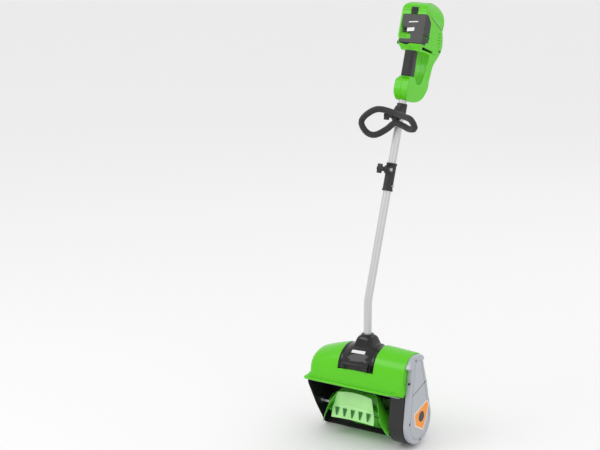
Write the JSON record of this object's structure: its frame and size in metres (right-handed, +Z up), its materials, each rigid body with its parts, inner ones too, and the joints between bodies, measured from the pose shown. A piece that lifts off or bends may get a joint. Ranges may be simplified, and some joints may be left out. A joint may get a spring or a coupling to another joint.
{
  "type": "cordless snow shovel",
  "caption": "Battery-powered snow shovel: belt-driven two-blade rotor in a crowned head, bent clamped shaft with loop handle and a D-grip battery housing.",
  "frame": {"origin": "centre of the scraper's flat underside, on the ground", "axes": "+Z up, -Y to the front (the intake), +X to the belt-drive side"},
  "size_m": [0.327, 0.4139, 1.1785],
  "materials": {
    "green_shell": "moulded gloss green",
    "rotor_green": "translucent moulded green",
    "black_plastic": "fine-textured black",
    "gloss_black": "polished black",
    "grip_rubber": "soft-touch rubber",
    "belt_rubber": "ribbed rubber",
    "silver_cover": "silver-grey satin",
    "shaft_tube": "satin anodised",
    "steel": "zinc-plated",
    "contact_copper": "bare",
    "board_green": "circuit board"
  },
  "bodies": {
    "head": {"head_shell": "green_shell", "saddle_cover": "gloss_black", "tube_socket": "gloss_black", "chute_wall": "black_plastic", "scraper_bar": "black_plastic", "left_side_plate": "black_plastic", "drive_case": "black_plastic", "belt_cover": "silver_cover", "cover_screw_1": "black_plastic", "cover_screw_2": "black_plastic", "cover_screw_3": "black_plastic", "cover_screw_4": "black_plastic", "cover_screw_5": "black_plastic", "left_bearing": "steel", "right_bearing": "steel", "motor_can": "steel", "motor_mount": "black_plastic", "drive_belt": "belt_rubber", "lower_tube": "shaft_tube", "socket_screw": "steel", "lower_lead": "black_plastic", "coupler_sleeve": "black_plastic", "coupler_bolt": "steel"},
    "rotor": {"rotor_paddle": "rotor_green", "rotor_shaft": "steel", "driven_pulley": "black_plastic"},
    "motor_rotor": {"motor_shaft": "steel", "drive_pulley": "steel"},
    "coupler_knob": {"coupler_knob": "black_plastic"},
    "snap_button": {"snap_button": "black_plastic"},
    "upper": {"upper_tube": "shaft_tube", "upper_lead": "black_plastic", "loop_clamp": "black_plastic", "loop_bolt": "steel", "handle_shell_left": "green_shell", "handle_shell_right": "green_shell", "grip_overmold": "grip_rubber", "label_panel": "gloss_black", "trigger_pin": "steel", "switch_body": "black_plastic", "control_board": "board_green", "contact_block": "contact_copper", "lid_hinge_pin": "steel"},
    "loop": {"loop_handle": "grip_rubber"},
    "loop_knob": {"loop_knob": "black_plastic"},
    "trigger": {"trigger": "black_plastic"},
    "lock_button": {"lock_button": "black_plastic"},
    "lid": {"battery_lid": "green_shell"},
    "lid_latch": {"lid_latch": "black_plastic"},
    "battery": {"battery_case": "black_plastic"},
    "battery_release": {"battery_release": "green_shell"}
  },
  "joints": [
    {"name": "rotor_spin", "type": "hinge", "parent": "head", "child": "rotor", "pos_m": [0, -0.038, 0.076], "axis": [1, 0, 0], "continuous": true},
    {"name": "motor_spin", "type": "hinge", "parent": "head", "child": "motor_rotor", "pos_m": [0, -0.036, 0.212], "axis": [1, 0, 0], "continuous": true},
    {"name": "coupler_knob_turn", "type": "hinge", "parent": "head", "child": "coupler_knob", "pos_m": [0, 0.05648, 0.74122], "axis": [1, 0, 0], "range_deg": [0, 360]},
    {"name": "snap_button_press", "type": "slide", "parent": "head", "child": "snap_button", "axis": [-1, 0, 0], "range_m": [0, 0.003], "stiffness_N_per_m": 900},
    {"name": "shaft_slide", "type": "slide", "parent": "head", "child": "upper", "axis": [0, 0.3173, 0.9483], "range_m": [0, 0.045]},
    {"name": "loop_tilt", "type": "hinge", "parent": "upper", "child": "loop", "pos_m": [0, 0.10123, 0.88126], "axis": [-1, 0, 0], "range_deg": [-10, 35]},
    {"name": "loop_knob_turn", "type": "hinge", "parent": "upper", "child": "loop_knob", "pos_m": [0, 0.10123, 0.88126], "axis": [1, 0, 0], "range_deg": [0, 360]},
    {"name": "trigger_pull", "type": "hinge", "parent": "upper", "child": "trigger", "pos_m": [0, 0.18047, 1.04244], "axis": [-1, 0, 0], "range_deg": [0, 9], "stiffness_Nm_per_rad": 0.6},
    {"name": "lock_button_press", "type": "slide", "parent": "upper", "child": "lock_button", "axis": [1, 0, 0], "range_m": [0, 0.004], "stiffness_N_per_m": 600},
    {"name": "lid_swing", "type": "hinge", "parent": "upper", "child": "lid", "pos_m": [0, 0.28931, 1.09355], "axis": [-1, 0, 0], "range_deg": [0, 110]},
    {"name": "lid_latch_slide", "type": "slide", "parent": "lid", "child": "lid_latch", "axis": [0, 0.3173, 0.9483], "range_m": [0, 0.004], "stiffness_N_per_m": 500},
    {"name": "battery_slide", "type": "slide", "parent": "upper", "child": "battery", "axis": [0, 0.3173, 0.9483], "range_m": [0, 0.08]},
    {"name": "battery_release_press", "type": "slide", "parent": "battery", "child": "battery_release", "axis": [0, -0.3173, -0.9483], "range_m": [0, 0.002], "stiffness_N_per_m": 700}
  ],
  "couplings": [
    {"joint": "motor_spin", "follows": "rotor_spin", "ratio": 3.2727},
    {"joint": "battery_slide", "follows": "lid_swing", "m_per_rad": 0.041669}
  ]
}
